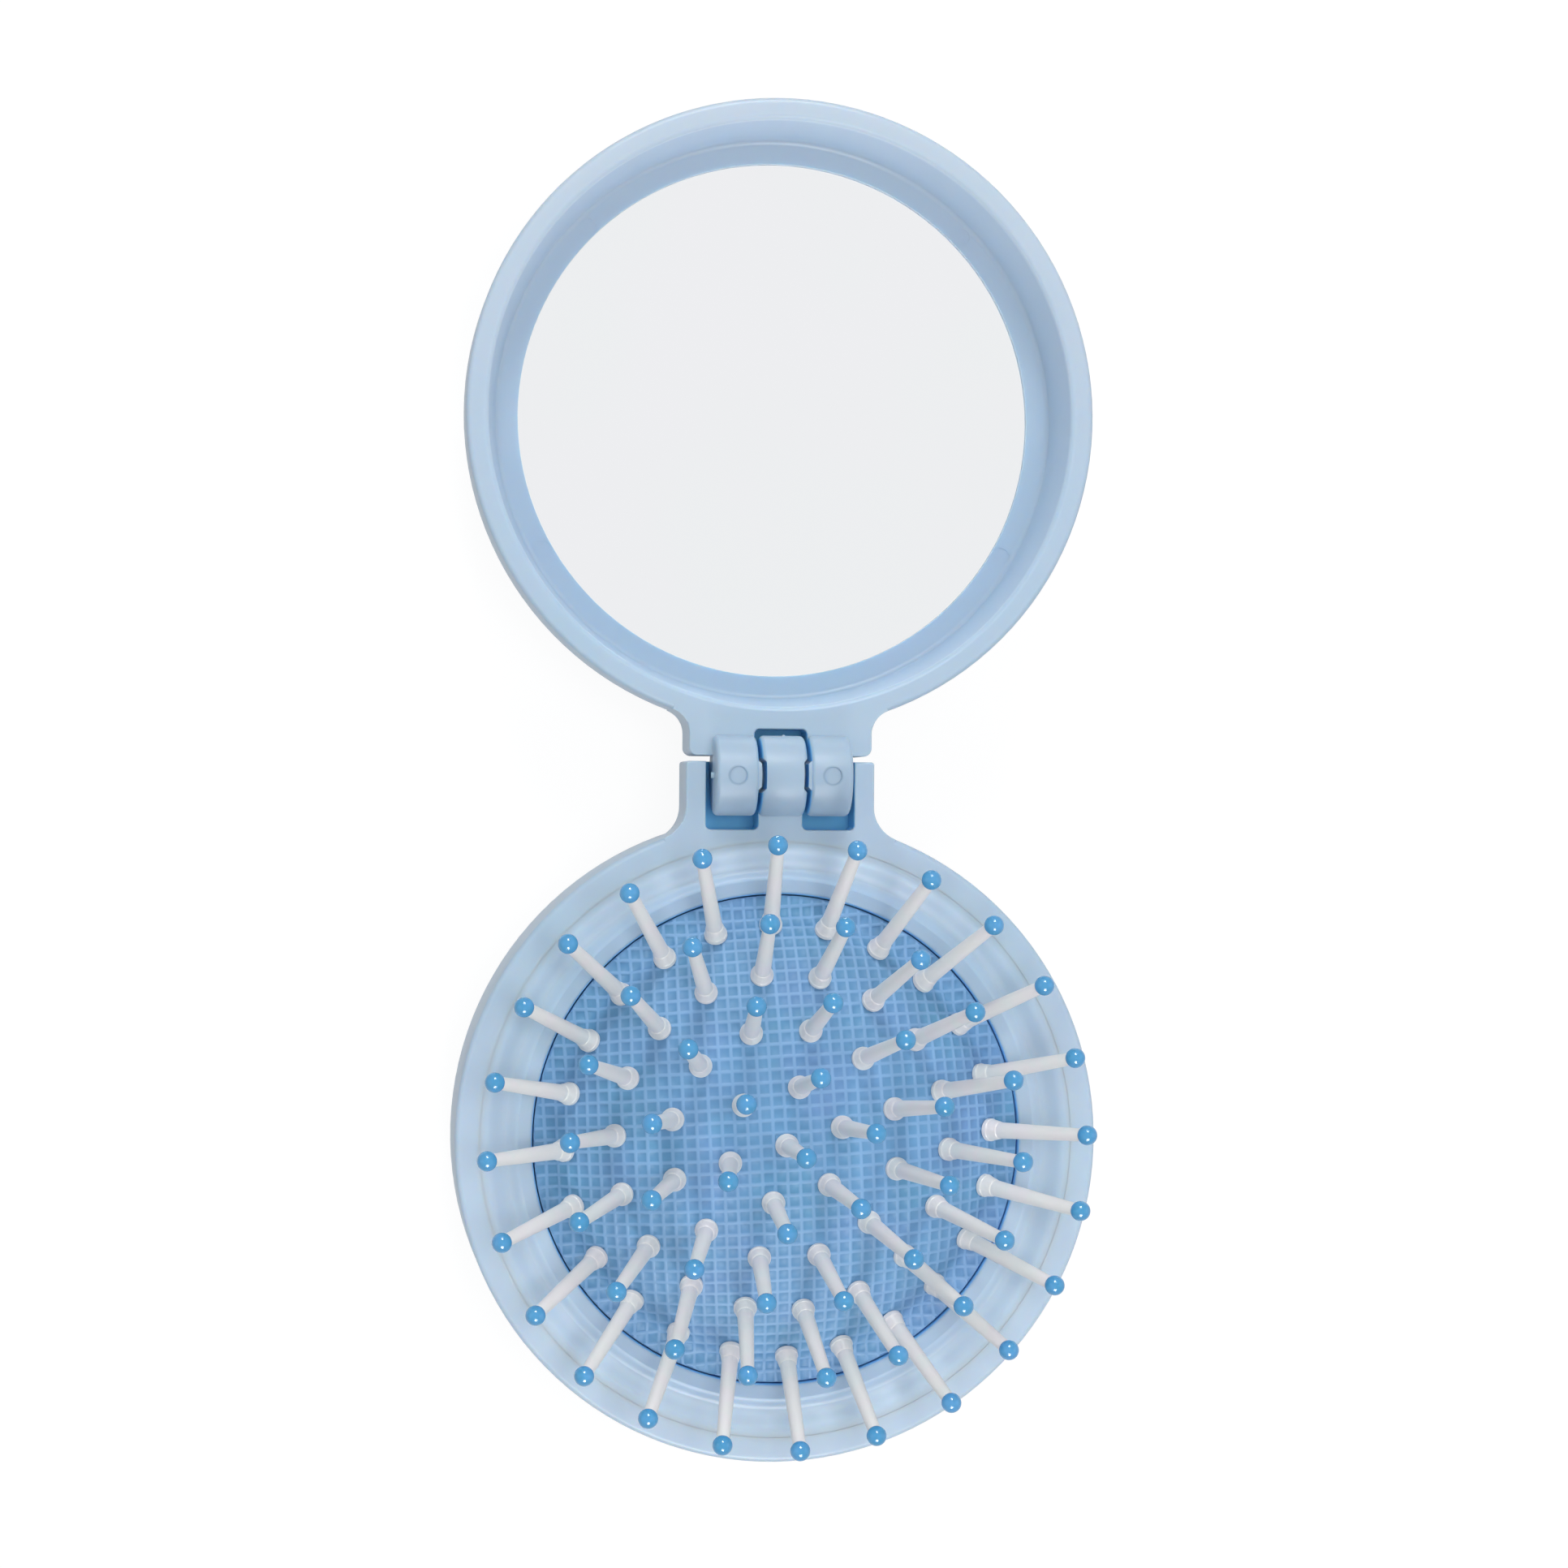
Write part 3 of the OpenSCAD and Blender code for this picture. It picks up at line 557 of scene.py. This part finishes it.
def dome_profile(steps=400):
    """The cushion's face from its top to its edge: each point's radius, height and distance along the face.

    An ellipse runs out past the last bristles, flattens into a margin under the bezel's lip, and rolls over.
    """
    def ellipse(r):
        return DOME_CENTRE_Z + DOME_C * np.sqrt(1 - (r / DOME_A) ** 2)

    crown_r = np.linspace(0, SKIRT_R, steps)
    skirt = np.linspace(0, 1, steps // 4)[1:]
    span = MARGIN_R - MARGIN_ROUND - SKIRT_R
    fall = -span * math.tan(lean_of_ellipse(SKIRT_R))
    towards_margin = 3 * skirt ** 2 - 2 * skirt ** 3
    along_fall = skirt ** 3 - 2 * skirt ** 2 + skirt
    skirt_z = (1 - towards_margin) * ellipse(SKIRT_R) + along_fall * fall + towards_margin * MARGIN_Z
    roll = np.linspace(0, MARGIN_ROLL, 8)[1:]
    r = np.concatenate((crown_r, SKIRT_R + span * skirt, MARGIN_R - MARGIN_ROUND * (1 - np.sin(roll))))
    z = np.concatenate((ellipse(crown_r), skirt_z, MARGIN_Z - MARGIN_ROUND * (1 - np.cos(roll))))
    return r, z, np.concatenate(([0.0], np.cumsum(np.hypot(np.diff(r), np.diff(z)))))


def lean_of_ellipse(r):
    """How far the dome's ellipse leans outwards at a radius."""
    return math.atan(DOME_C * r / (DOME_A ** 2 * math.sqrt(1 - (r / DOME_A) ** 2)))


PROFILE_R, PROFILE_Z, REACHES = dome_profile()
PROFILE_LEAN = np.arctan2(-np.gradient(PROFILE_Z), np.gradient(PROFILE_R))


def on_dome(u, v, depth=0.0):
    """Lays the point (u, v) of the flat sheet on the dome, depth under its outer face."""
    reach = math.hypot(u, v)
    r, z, lean = (float(np.interp(reach, REACHES, values)) for values in (PROFILE_R, PROFILE_Z, PROFILE_LEAN))
    share = (r - depth * math.sin(lean)) / reach if reach > 0 else 0.0
    return Vector((BASE_CENTRE.x + u * share, BASE_CENTRE.y + v * share, z - depth * math.cos(lean)))


def stem_places():
    """Where the bristles' stems pass through the flat sheet."""
    outer_lean = lean_of_ellipse(OUTER_RING_R)
    places = [(0.0, 0.0)]
    for ring in range(1, RINGS + 1):
        r = OUTER_RING_R * math.sin(outer_lean * ring / RINGS) / math.sin(outer_lean)
        reach = float(np.interp(r, PROFILE_R, REACHES))
        count = 6 * ring
        for i in range(1, count + 1):
            turn = PATTERN_TURN + math.tau * i / count
            places.append((reach * math.cos(turn), reach * math.sin(turn)))
    return places


def circle_points(u, v, r, count):
    turns = (math.tau * i / count for i in range(count))
    return [Vector((u + r * math.cos(turn), v + r * math.sin(turn))) for turn in turns]


def mesh_lines(limit, offsets, pitch):
    """Places of the lines of points along one side of the square mesh."""
    count = int(limit / pitch) + 1
    return [i * pitch + offset for i in range(-count, count + 1) for offset in offsets]


def sheet_faces(lines, rim_r, stems, rim_count, hole_count):
    """The points and triangles of a flat round sheet with a hole for each stem.

    The rim's points come first, then the holes'.
    """
    points = circle_points(0, 0, rim_r, rim_count)
    edges = [(i, (i + 1) % rim_count) for i in range(rim_count)]
    for u, v in stems:
        start = len(points)
        points += circle_points(u, v, STEM_HOLE_R, hole_count)
        edges += [(start + i, start + (i + 1) % hole_count) for i in range(hole_count)]
    cos, sin = math.cos(MESH_TURN), math.sin(MESH_TURN)
    a, b = (grid.ravel() for grid in np.meshgrid(lines, lines))
    u, v = a * cos - b * sin, a * sin + b * cos
    clear = 0.05 * MM
    merge = 1e-6
    holes = np.array(stems)
    keep = np.hypot(u, v) < rim_r - clear
    nearest = np.min(np.hypot(u[:, None] - holes[:, 0], v[:, None] - holes[:, 1]), axis=1)
    keep &= nearest > STEM_HOLE_R + clear
    fixed = len(points)
    points += [Vector(p) for p in zip(u[keep], v[keep])]
    scaled = [p / MM for p in points]
    made, _, faces, _, _, _ = delaunay_2d_cdt(scaled, edges, [], 1, merge)
    made = [p * MM for p in made]
    inside = []
    for face in faces:
        middle = sum((made[i] for i in face), Vector((0, 0))) / len(face)
        gap = min((middle - Vector(s)).length for s in stems) if max(face) < fixed else STEM_HOLE_R * 2
        if gap > STEM_HOLE_R:
            inside.append(face)
    return made, inside


def relief(u, v):
    """How far a point of the sheet is up a ridge of the square mesh, from 0 to 1, and which cell it is in."""
    cos, sin = math.cos(MESH_TURN), math.sin(MESH_TURN)
    a, b = u * cos + v * sin, v * cos - u * sin
    column, row = math.floor(a / MESH_PITCH), math.floor(b / MESH_PITCH)
    off_a = abs(a / MESH_PITCH - round(a / MESH_PITCH)) * MESH_PITCH
    off_b = abs(b / MESH_PITCH - round(b / MESH_PITCH)) * MESH_PITCH
    off = min(off_a, off_b)
    share = min(1.0, max(0.0, (RIDGE_FOOT - off) / (RIDGE_FOOT - RIDGE_TOP)))
    return share, (column, row)


def build_cushion(material):
    """The domed rubber sheet with its raised square mesh, stem holes, underside and clamped flange."""
    stems = stem_places()
    rim_r = float(REACHES[-1])
    inner_r = MARGIN_R - CUSHION_T
    inner_rim_r = float(np.interp(inner_r, PROFILE_R, REACHES))
    rim_count, hole_count = 360, 24
    offsets = [0.0, RIDGE_TOP, RIDGE_FOOT, MESH_PITCH - RIDGE_FOOT, MESH_PITCH - RIDGE_TOP]
    lines = mesh_lines(rim_r, offsets, MESH_PITCH)
    outer, outer_faces = sheet_faces(lines, rim_r, stems, rim_count, hole_count)
    lines = mesh_lines(inner_rim_r, [0.0], 2 * MESH_PITCH)
    inner, inner_faces = sheet_faces(lines, inner_rim_r, stems, rim_count, hole_count)
    rng = np.random.default_rng(4)
    tones = {}
    vertices, ridges, cell_tones = [], [], []
    fixed = rim_count + hole_count * len(stems)
    for i, p in enumerate(outer):
        share, cell = relief(p.x, p.y)
        if cell not in tones:
            tones[cell] = float(rng.random())
        depth = 0.0 if i < fixed else RIDGE_H * (1 - share)
        vertices.append(on_dome(p.x, p.y, depth))
        ridges.append(share if i >= fixed else EDGE_RIDGE)
        cell_tones.append(tones[cell])
    under = len(vertices)
    vertices += [on_dome(p.x, p.y, CUSHION_T) for p in inner]
    faces = [tuple(f) for f in outer_faces]
    faces += [tuple(under + i for i in reversed(f)) for f in inner_faces]
    for start in range(rim_count, fixed, hole_count):
        for i in range(hole_count):
            a, b = start + i, start + (i + 1) % hole_count
            faces.append((a, b, under + b, under + a))
    loops = [list(range(rim_count))]
    for r, z in ((MARGIN_R, CLAMP_Z), (FLANGE_R, CLAMP_Z), (FLANGE_R, SEAT_Z), (inner_r, SEAT_Z)):
        loops.append(list(range(len(vertices), len(vertices) + rim_count)))
        for i in range(rim_count):
            turn = math.tau * i / rim_count
            across = Vector((r * math.cos(turn), r * math.sin(turn), z))
            vertices.append(Vector((BASE_CENTRE.x, BASE_CENTRE.y, 0)) + across)
    loops.append([under + i for i in range(rim_count)])
    for near, far in zip(loops, loops[1:]):
        for i in range(rim_count):
            j = (i + 1) % rim_count
            faces.append((near[i], far[i], far[j], near[j]))
    extra = len(vertices) - len(ridges)
    mesh = bpy.data.meshes.new("cushion_membrane")
    mesh.from_pydata(vertices, [], faces)
    mesh.validate()
    plain = [0.5] * extra
    for name, values in (("ridge", ridges + plain), ("cell_tone", cell_tones + plain)):
        mesh.attributes.new(name, "FLOAT", "POINT").data.foreach_set("value", values)
    mesh.materials.append(material)
    mesh.shade_smooth()
    mesh.set_sharp_from_angle(angle=math.radians(50))
    piece = bpy.data.objects.new("cushion_membrane", mesh)
    bpy.context.scene.collection.objects.link(piece)
    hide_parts("cushion")
    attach(piece, "brush_tray")
    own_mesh(piece)


# ---- moulded pieces with softened edges ----

WELD = 0.002 * MM
SEAM = 0.04 * MM

class MouldedNormals:
    """The true surface normals of a frame mesh, looked up by place and by which way a face looks."""

    def __init__(self, mesh):
        self.corners = []
        places = []
        for face in mesh.polygons:
            for corner in face.loop_indices:
                places.append(mesh.vertices[mesh.loops[corner].vertex_index].co)
                self.corners.append((face.normal.copy(), Vector(mesh.corner_normals[corner].vector)))
        self.tree = KDTree(len(places))
        for i, place in enumerate(places):
            self.tree.insert(place, i)
        self.tree.balance()

    def at(self, place, looks, reach=1.2 * MM, tries=24):
        """The frame's normal at the nearest corner whose face looks the same way, or else looks itself."""
        best, likeness = None, 0.9
        for _, i, gap in self.tree.find_n(place, tries):
            facing, normal = self.corners[i]
            score = facing.dot(looks) - gap / reach
            if score > likeness - 1 and facing.dot(looks) > likeness and (best is None or score > best[0]):
                best = (score, normal)
        return best[1] if best else looks


def blended(places, normals, alike=math.cos(math.radians(16)), same=0.99999):
    """Corner normals that run smoothly over the narrow bands that make up a rounding.

    Each corner takes the mean of the different normals at its place that are near to its own.
    """
    at_place = {}
    keys = [tuple(round(value / WELD) for value in place) for place in places]
    for key, normal in zip(keys, normals):
        known = at_place.setdefault(key, [])
        if all(normal.dot(other) < same for other in known):
            known.append(normal)
    return [
        sum((other for other in at_place[key] if other.dot(normal) > alike), normal * 0.001).normalized()
        for key, normal in zip(keys, normals)
    ]


def softened(node, body, material, width, skip):
    """A copy of a moulded frame piece with the edges of its top face rounded. It stands for that piece.

    skip(place) is true where the top face's edge stays as the frame has it.
    """
    flat = 0.001 * MM
    level_angle = math.radians(0.1)
    sharp = math.radians(25)
    true_normals = MouldedNormals(NODES[node].data)
    bm = bmesh.new()
    bm.from_mesh(NODES[node].data)
    bmesh.ops.remove_doubles(bm, verts=bm.verts, dist=WELD)
    bmesh.ops.dissolve_limit(
        bm, angle_limit=level_angle, use_dissolve_boundaries=False, verts=bm.verts, edges=bm.edges
    )
    bmesh.ops.triangulate(bm, faces=[f for f in bm.faces if len(f.verts) > 4], ngon_method="BEAUTY")
    edges = [
        e for e in bm.edges
        if e.is_manifold and e.is_convex and e.calc_face_angle() > sharp
        and all(abs(v.co.z - RIM_Z) < flat for v in e.verts)
        and not skip((e.verts[0].co + e.verts[1].co) / 2)
    ]
    rounding = bmesh.ops.bevel(
        bm, geom=edges, offset=width, offset_type="OFFSET", segments=4, profile=0.5,
        affect="EDGES", clamp_overlap=False
    )["faces"]
    bm.normal_update()
    rounding = set(rounding)
    normals, places = [], []
    for face in bm.faces:
        for vert in face.verts:
            places.append(vert.co.copy())
            others = [f for f in vert.link_faces if f not in rounding]
            if face in rounding and others:
                near = max(others, key=lambda f: f.normal.dot(face.normal))
                normals.append(true_normals.at(vert.co, near.normal))
            elif face in rounding:
                around = sum((f.normal * f.calc_area() for f in vert.link_faces), Vector())
                normals.append(around.normalized())
            else:
                normals.append(true_normals.at(vert.co, face.normal))
    mesh = bpy.data.meshes.new(node + "_moulded")
    bm.to_mesh(mesh)
    bm.free()
    mesh.materials.append(material)
    mesh.shade_smooth()
    mesh.normals_split_custom_set(blended(places, normals))
    piece = bpy.data.objects.new(node + "_moulded", mesh)
    bpy.context.scene.collection.objects.link(piece)
    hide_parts(node)
    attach(piece, body)


def near_circle(place, centre, r, gap):
    return abs(math.hypot(place.x - centre.x, place.y - centre.y) - r) < gap


def at_fillet_end(place, centre, r):
    """True where a lug's side fillet runs out into the rounded rim."""
    gap = 1 * MM
    return abs(place.x) > LUG_SIDE_X and near_circle(place, centre, r, gap)


def fitted(node, body, material, fit):
    """A copy of a round frame piece with a closer fit. It stands for that piece.

    fit(place, normal) gives the new place and normal of each corner.
    """
    source = NODES[node].data
    mesh = source.copy()
    mesh.materials.clear()
    mesh.materials.append(material)
    normals = [Vector(corner.vector) for corner in source.corner_normals]
    for i, loop in enumerate(source.loops):
        place, normals[i] = fit(source.vertices[loop.vertex_index].co, normals[i])
        mesh.vertices[loop.vertex_index].co = place
    places = [mesh.vertices[loop.vertex_index].co for loop in mesh.loops]
    mesh.shade_smooth()
    mesh.normals_split_custom_set(blended(places, normals))
    piece = bpy.data.objects.new(node + "_fitted", mesh)
    bpy.context.scene.collection.objects.link(piece)
    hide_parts(node)
    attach(piece, body)


def at_radius(place, centre, r, z):
    """The point at radius r and height z in the same direction from a centre as place."""
    across = Vector((place.x - centre.x, place.y - centre.y, 0)).normalized() * r
    return Vector((centre.x + across.x, centre.y + across.y, z))


def level(normal):
    """A corner's normal on an edge that has lost its bevel: straight up, unless it looks sideways or down."""
    sideways = 0.3
    return Vector((0, 0, 1)) if normal.z > sideways else normal


def bezel_fit(place, normal):
    """Closes the bezel's seam to a fine line: its edge bevel fills up, and its wall meets the bore."""
    wall_gap = 0.1 * MM
    bevel_width = 0.35 * MM
    bevel_height = 0.6 * MM
    overlap = 0.02 * MM
    across = math.hypot(place.x - BASE_CENTRE.x, place.y - BASE_CENTRE.y)
    if across < BORE_R - wall_gap:
        return place.copy(), level(normal) if across > BORE_R - bevel_width else normal
    z = max(place.z, RIM_Z - SEAM) if place.z > RIM_Z - bevel_height else place.z
    return at_radius(place, BASE_CENTRE, BORE_R + overlap, z), level(normal)


def mirror_fit(place, normal):
    """Sets the glass close in its pocket, with only a fine bevel at its edge."""
    edge_width = 0.05 * MM
    edge_height = 0.5 * MM
    gap_left = 0.01 * MM
    if math.hypot(place.x - LID_CENTRE.x, place.y - LID_CENTRE.y) < MIRROR_R - edge_width:
        return place.copy(), level(normal)
    z = MIRROR_Z - SEAM if place.z > MIRROR_Z - edge_height else place.z
    return at_radius(place, LID_CENTRE, MIRROR_R + MIRROR_GAP - gap_left, z), level(normal)


def paint(name, material):
    """Gives a frame piece its finish."""
    slots = NODES[name].data.materials
    slots.clear()
    slots.append(material)


# ---- floor, light and camera ----

def make_floor():
    """A pale floor that the camera and reflections see near white, with the object's shadow kept."""
    bpy.ops.mesh.primitive_plane_add(size=6, location=(0, 0, -0.05 * MM))
    floor = bpy.context.object
    floor.name = "floor"
    material = bpy.data.materials.new("floor")
    material.use_nodes = True
    tree = material.node_tree
    tree.nodes.remove(tree.nodes["Principled BSDF"])
    nodes = Nodes(tree)
    diffuse = nodes.add("ShaderNodeBsdfDiffuse", {"Color": (0.12, 0.12, 0.12, 1)})
    strength = nodes.ramp(nodes.seen(), 0.0, 1.0, FLOOR_GLOW, FLOOR_SEEN)
    glow = nodes.add("ShaderNodeEmission", {"Color": (1, 1, 1, 1), "Strength": strength})
    both = nodes.add("ShaderNodeAddShader", {0: diffuse.outputs[0], 1: glow.outputs[0]})
    nodes.put(tree.nodes["Material Output"].inputs["Surface"], both.outputs[0])
    floor.data.materials.append(material)


def make_world():
    world = bpy.data.worlds.new("studio")
    bpy.context.scene.world = world
    world.use_nodes = True
    tree = world.node_tree
    nodes = Nodes(tree)
    ambient = tree.nodes["Background"]
    ambient.inputs["Color"].default_value = (0.97, 0.985, 1.0, 1)
    ambient.inputs["Strength"].default_value = 0.46
    white = nodes.add("ShaderNodeBackground", {"Color": (1, 1, 1, 1), "Strength": 1.0})
    both = nodes.add("ShaderNodeMixShader", {0: nodes.seen(), 1: ambient.outputs[0], 2: white.outputs[0]})
    nodes.put(tree.nodes["World Output"].inputs["Surface"], both.outputs[0])


def soft_light(name, azimuth, off_axis, distance, size, power, colour):
    """A square soft box, off_axis degrees from straight above, on the side that azimuth names."""
    light = bpy.data.lights.new(name, "AREA")
    light.size = size
    light.energy = power
    light.color = colour
    lamp = bpy.data.objects.new(name, light)
    bpy.context.scene.collection.objects.link(lamp)
    turn, lean = math.radians(azimuth), math.radians(off_axis)
    out = Vector((math.cos(turn) * math.sin(lean), math.sin(turn) * math.sin(lean), math.cos(lean)))
    lamp.location = out * distance
    lamp.rotation_mode = "QUATERNION"
    lamp.rotation_quaternion = out.to_track_quat("Z", "Y")
    lamp.visible_camera = False
    return lamp


def highlight(name, azimuth, off_axis, distance, size, power):
    """A small bright window that only shows as a reflection in glossy pieces."""
    lamp = soft_light(name, azimuth, off_axis, distance, size, power, (1.0, 1.0, 1.0))
    lamp.visible_diffuse = False
    lamp.visible_transmission = False


def make_lights():
    """A soft overhead box, a low box on each side, and two windows for the gloss."""
    overhead = soft_light("overhead_box", 0, 7, 1.0, 0.40, 2.8, (1.0, 1.0, 1.0))
    overhead.visible_glossy = False
    overhead.visible_transmission = False
    soft_light("front_box", -88, 54, 0.60, 0.13, 0.62, (1.0, 0.99, 0.98))
    soft_light("back_box", 92, 55, 0.60, 0.17, 1.2, (0.97, 0.99, 1.0))
    soft_light("left_box", 180, 60, 0.60, 0.35, 0.25, (0.86, 0.96, 1.0))
    soft_light("right_box", 0, 60, 0.60, 0.35, 0.25, (0.95, 0.93, 1.0))
    highlight("front_window", -90, 48, 0.60, 0.24, 3.6)
    highlight("back_window", 90, 46, 0.60, 0.18, 1.9)


def make_camera():
    """Looks down on the open object from 400 mm, leaning a little to the left."""
    lean_x, lean_y, roll = math.radians(-0.51), math.radians(7.37), math.radians(-0.4)
    shift = Vector((-0.35, 0.85, 0)) * MM
    distance = 400 * MM
    view = Matrix.Rotation(roll, 3, "Z") @ Matrix.Rotation(lean_x, 3, "X") @ Matrix.Rotation(lean_y, 3, "Y")
    data = bpy.data.cameras.new("camera")
    camera = bpy.data.objects.new("camera", data)
    bpy.context.scene.collection.objects.link(camera)
    bpy.context.scene.camera = camera
    data.sensor_width = 36
    image_size = 1932
    pixels_per_mm = 11.7519
    data.lens = data.sensor_width * pixels_per_mm * distance / MM / image_size
    camera.location = view.transposed() @ (Vector((0, 0, distance)) - shift) + Vector((0, 0, RIM_Z))
    camera.rotation_euler = view.transposed().to_euler()
    data.clip_start, data.clip_end = 0.01, 20


# ---- assembly ----

def finish_pieces():
    shell, inner = shell_plastic(), inner_plastic()
    rubber, nylon, resin, silver = cushion_rubber(), bristle_nylon(), tip_resin(), mirror_silver()
    for node, material in (
        ("bristle_tray", inner), ("cushion_clamp_ring", inner), ("mirror_glass", silver),
        ("mirror_adhesive", foam_tape()), ("base_shell", shell), ("lid_shell", shell),
        ("push_button", shell), ("bezel_ring", shell),
    ):
        paint(node, material)
    for name in NODES:
        if "_bristles_" in name:
            paint(name, nylon)
        if "_tips_" in name:
            paint(name, resin)
    edge_round = 0.2 * MM
    gap = 0.1 * MM
    softened(
        "base_shell", "base", shell, edge_round,
        lambda place: (
            near_circle(place, BASE_CENTRE, BORE_R, gap) or at_fillet_end(place, BASE_CENTRE, BASE_R)
        )
    )
    softened(
        "lid_shell", "lid", shell, edge_round,
        lambda place: at_fillet_end(place, LID_CENTRE, LID_R)
    )
    fitted("bezel_ring", "base", shell, bezel_fit)
    fitted("mirror_glass", "lid", silver, mirror_fit)
    build_cushion(rubber)


bpy.context.scene.view_settings.view_transform = "Standard"
make_camera()
make_world()
make_floor()
make_lights()
finish_pieces()
